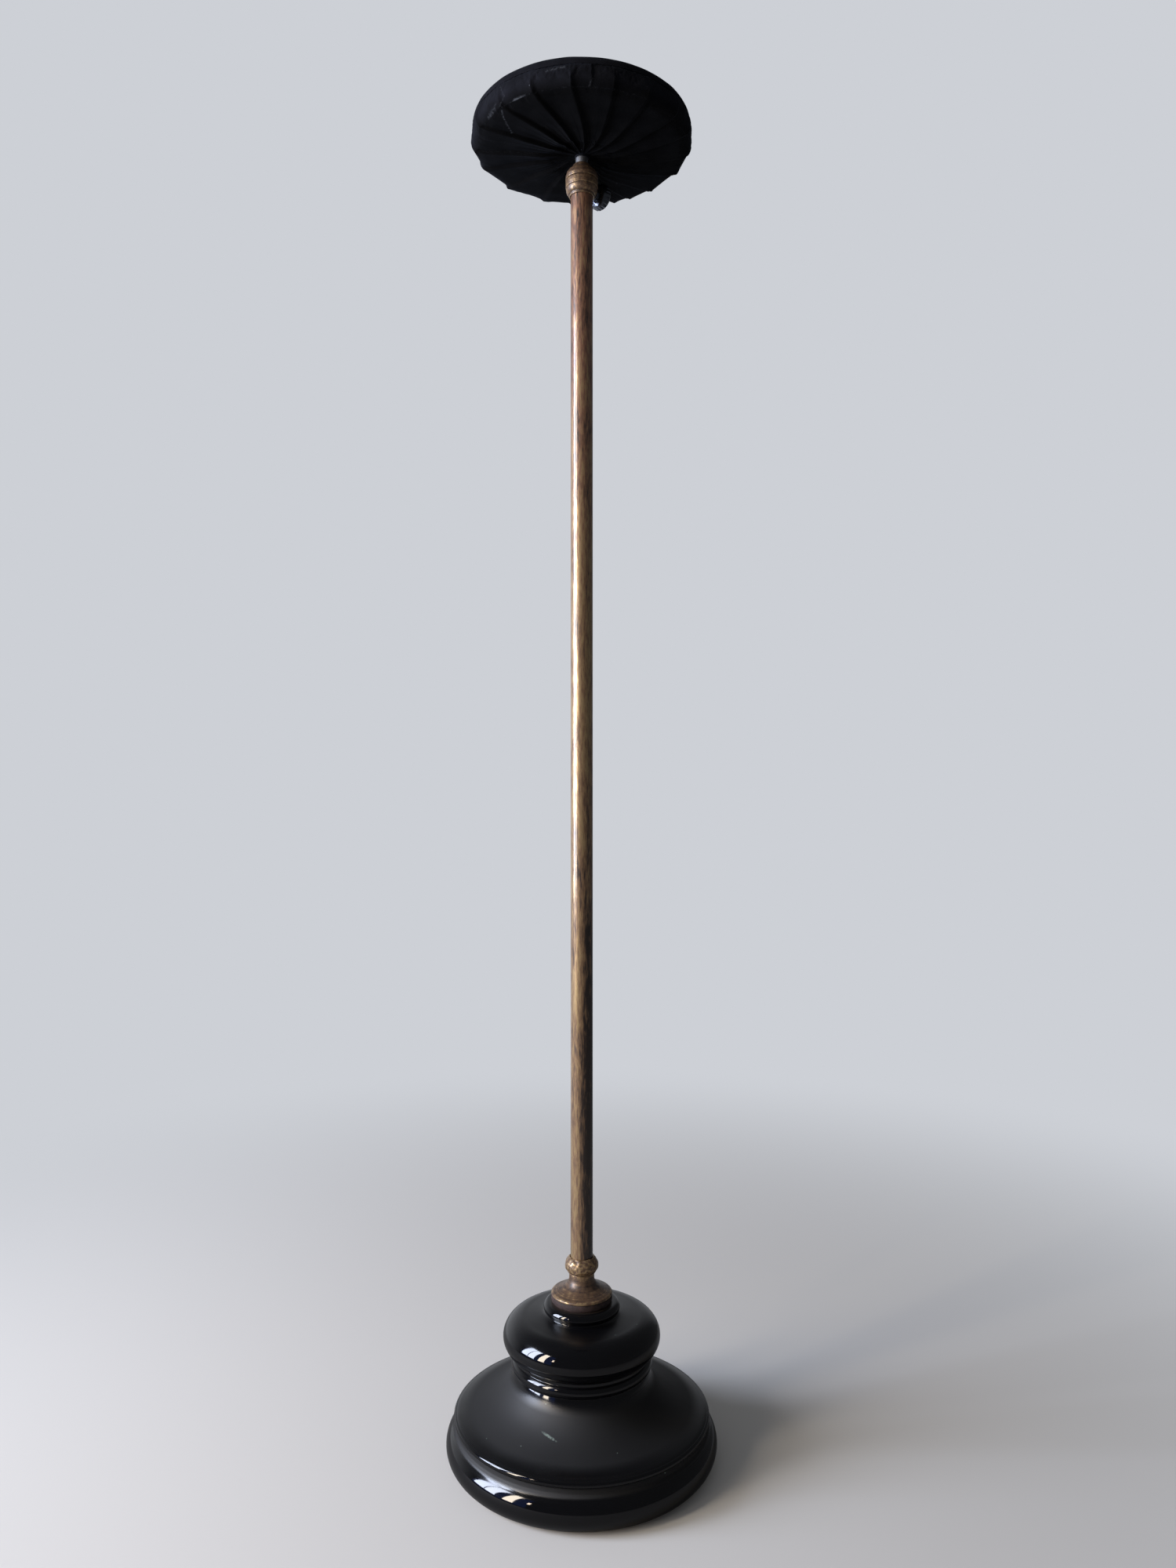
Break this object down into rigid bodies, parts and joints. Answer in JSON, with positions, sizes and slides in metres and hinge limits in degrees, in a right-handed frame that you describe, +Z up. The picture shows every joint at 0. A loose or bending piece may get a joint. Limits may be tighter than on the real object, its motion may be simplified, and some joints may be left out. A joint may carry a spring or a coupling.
{
  "type": "milliner's hat stand",
  "caption": "Table hat stand with a black glazed foot, a brass column, and a velvet pad on a rod that slides, turns and is clamped by a thumb screw.",
  "frame": {"origin": "on the table, at the centre of the foot", "axes": "+Z up along the column; the picture is taken looking along +Y with +X to the right; the thumb screw points away from the camera and to the right"},
  "size_m": [0.121, 0.121, 0.6035],
  "materials": {
    "black_glaze": "black glossy glaze",
    "leather": "dry brown leather, cut edges",
    "aged_brass": "aged brass with brown patina, worn bright in streaks",
    "worn_brass": "turned brass, worn gold",
    "nickel_plate": "nickel-plated steel, polished",
    "plain_steel": "plain turned steel",
    "beech": "turned beech",
    "wadding": "cotton wadding",
    "black_velvet": "black cotton velvet, matt pile",
    "sewing_thread": "dark blue linen thread"
  },
  "bodies": {
    "column": {"base": "black_glaze", "leather_washer": "leather", "under_leather": "leather", "tie_washer": "plain_steel", "tie_nut": "plain_steel", "tie_stud": "plain_steel", "foot_flange": "aged_brass", "column_bead": "worn_brass", "column_plug": "aged_brass", "outer_tube": "aged_brass", "clamp_collar": "aged_brass", "guide_bush": "aged_brass", "collar_cap": "aged_brass"},
    "guide": {"rod_guide": "worn_brass"},
    "rod": {"inner_rod": "nickel_plate", "end_screw": "plain_steel", "mounting_plate": "aged_brass", "plate_screw_1": "plain_steel", "plate_screw_2": "plain_steel", "plate_screw_3": "plain_steel", "pad_board": "beech", "pad_wadding": "wadding", "velvet_skirt": "black_velvet", "velvet_crown": "black_velvet", "gather_thread": "sewing_thread"},
    "slug": {"clamp_slug": "worn_brass"},
    "screw": {"thumb_screw": "nickel_plate"}
  },
  "joints": [
    {"name": "height_slide", "type": "slide", "parent": "column", "child": "guide", "axis": [0, 0, 1], "range_m": [0, 0.36]},
    {"name": "head_turn", "type": "hinge", "parent": "guide", "child": "rod", "pos_m": [0, 0, 0.59], "axis": [0, 0, 1], "continuous": true},
    {"name": "slug_travel", "type": "slide", "parent": "column", "child": "slug", "axis": [0.7071, 0.7071, 0], "range_m": [0, 0.0014]},
    {"name": "thumb_screw_turn", "type": "hinge", "parent": "slug", "child": "screw", "pos_m": [0, 0, 0.5694], "axis": [0.7071, 0.7071, 0], "range_deg": [0, 720]}
  ],
  "couplings": [
    {"joint": "thumb_screw_turn", "follows": "slug_travel", "rad_per_m": 8976}
  ]
}
